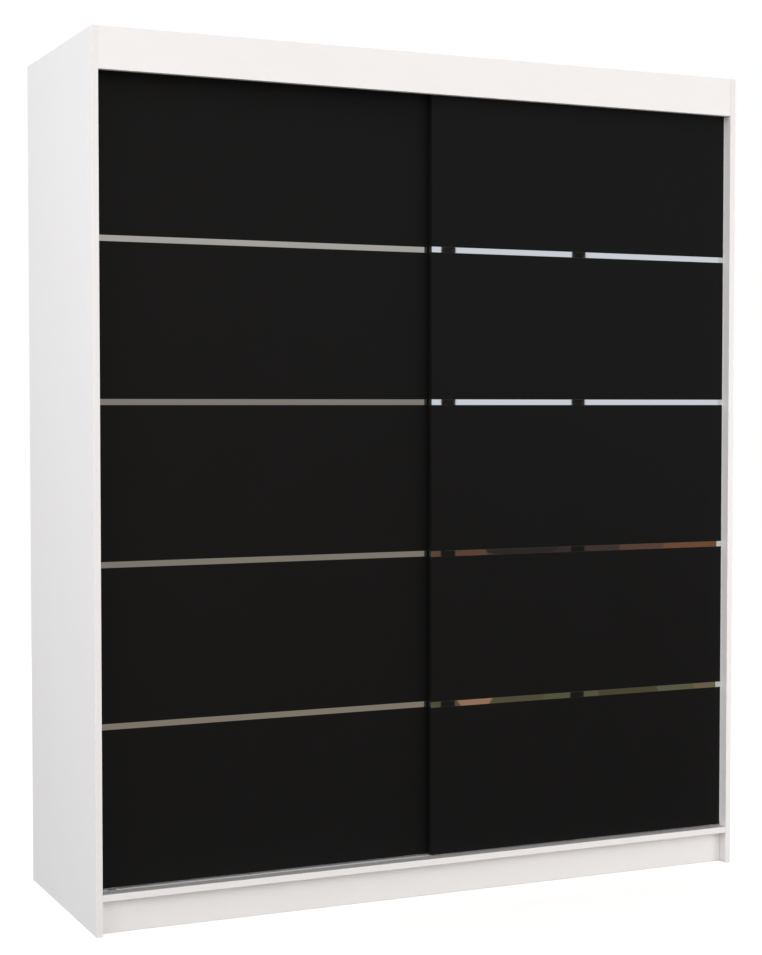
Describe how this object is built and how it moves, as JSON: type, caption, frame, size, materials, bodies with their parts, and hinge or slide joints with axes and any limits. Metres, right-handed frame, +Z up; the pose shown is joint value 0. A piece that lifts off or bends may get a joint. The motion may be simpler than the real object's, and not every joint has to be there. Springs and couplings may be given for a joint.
{
  "type": "sliding door wardrobe",
  "caption": "Sliding door wardrobe: dark doors with inlaid mirror strips run on double tracks in a white case with shelves and a hanging rail.",
  "frame": {"origin": "on the floor, under the middle of the wardrobe's footprint", "axes": "+Z up, +X to the right seen from the front, +Y from the front to the back"},
  "size_m": [1.8, 0.61, 2.145],
  "materials": {
    "white_board": "satin",
    "black_board": "satin",
    "mirror_glass": "polished",
    "anodised_aluminium": "satin",
    "chrome_plate": "gloss",
    "zinc_alloy": "satin",
    "zinc_steel": "satin",
    "grey_nylon": "satin",
    "white_acetal": "satin",
    "black_nylon": "matte",
    "fibreboard": "matte",
    "white_plastic": "satin",
    "beech": "matte",
    "brush_pile": "matte"
  },
  "bodies": {
    "carcass": {"side_left": "white_board", "side_right": "white_board", "bottom_board": "white_board", "top_board": "white_board", "fascia": "white_board", "front_plinth": "white_board", "rear_plinth": "white_board", "plinth_rib": "white_board", "partition": "white_board", "hat_shelf_left": "white_board", "hat_shelf_right": "white_board", "loose_shelf_1": "white_board", "loose_shelf_2": "white_board", "loose_shelf_3": "white_board", "loose_shelf_4": "white_board", "lower_track": "anodised_aluminium", "upper_track": "anodised_aluminium", "hanging_rail": "chrome_plate", "rail_sockets": "zinc_alloy", "cam_locks": "zinc_alloy", "shelf_pins": "zinc_steel", "rail_socket_screws": "zinc_steel", "wall_brackets": "zinc_steel", "wall_bracket_screws": "zinc_steel", "track_screws": "zinc_steel", "cam_bolts": "zinc_steel", "back_nails": "zinc_steel", "track_stops": "grey_nylon", "back_sheet_left_lower": "fibreboard", "back_sheet_left_upper": "fibreboard", "back_sheet_right_lower": "fibreboard", "back_sheet_right_upper": "fibreboard", "back_joint_strips": "white_plastic", "dowels": "beech"},
    "left_door": {"left_door_board": "black_board", "left_door_mirror_strip_1": "mirror_glass", "left_door_mirror_strip_2": "mirror_glass", "left_door_mirror_strip_3": "mirror_glass", "left_door_mirror_strip_4": "mirror_glass", "left_door_axles": "zinc_steel", "left_door_height_screws": "zinc_steel", "left_door_roller_housings": "grey_nylon", "left_door_top_guides": "black_nylon", "left_door_brush": "brush_pile"},
    "right_door": {"right_door_board": "black_board", "right_door_mirror_strip_1": "mirror_glass", "right_door_mirror_strip_2": "mirror_glass", "right_door_mirror_strip_3": "mirror_glass", "right_door_mirror_strip_4": "mirror_glass", "right_door_axles": "zinc_steel", "right_door_height_screws": "zinc_steel", "right_door_roller_housings": "grey_nylon", "right_door_top_guides": "black_nylon", "right_door_brush": "brush_pile"},
    "left_door_roller_left": {"left_door_wheel_left": "white_acetal"},
    "left_door_roller_right": {"left_door_wheel_right": "white_acetal"},
    "right_door_roller_left": {"right_door_wheel_left": "white_acetal"},
    "right_door_roller_right": {"right_door_wheel_right": "white_acetal"}
  },
  "joints": [
    {"name": "left_door_slide", "type": "slide", "parent": "carcass", "child": "left_door", "axis": [1, 0, 0], "range_m": [0, 0.87]},
    {"name": "right_door_slide", "type": "slide", "parent": "carcass", "child": "right_door", "axis": [1, 0, 0], "range_m": [-0.87, 0]},
    {"name": "left_door_roller_left_spin", "type": "hinge", "parent": "left_door", "child": "left_door_roller_left", "pos_m": [-0.8415, -0.248, 0.1117], "axis": [0, 1, 0], "range_deg": [0, 5260]},
    {"name": "left_door_roller_right_spin", "type": "hinge", "parent": "left_door", "child": "left_door_roller_right", "pos_m": [-0.0345, -0.248, 0.1117], "axis": [0, 1, 0], "range_deg": [0, 5260]},
    {"name": "right_door_roller_left_spin", "type": "hinge", "parent": "right_door", "child": "right_door_roller_left", "pos_m": [0.0345, -0.27, 0.1117], "axis": [0, 1, 0], "range_deg": [-5260, 0]},
    {"name": "right_door_roller_right_spin", "type": "hinge", "parent": "right_door", "child": "right_door_roller_right", "pos_m": [0.8415, -0.27, 0.1117], "axis": [0, 1, 0], "range_deg": [-5260, 0]}
  ],
  "couplings": [
    {"joint": "left_door_roller_left_spin", "follows": "left_door_slide", "rad_per_m": 105.26},
    {"joint": "left_door_roller_right_spin", "follows": "left_door_slide", "rad_per_m": 105.26},
    {"joint": "right_door_roller_left_spin", "follows": "right_door_slide", "rad_per_m": 105.26},
    {"joint": "right_door_roller_right_spin", "follows": "right_door_slide", "rad_per_m": 105.26}
  ]
}
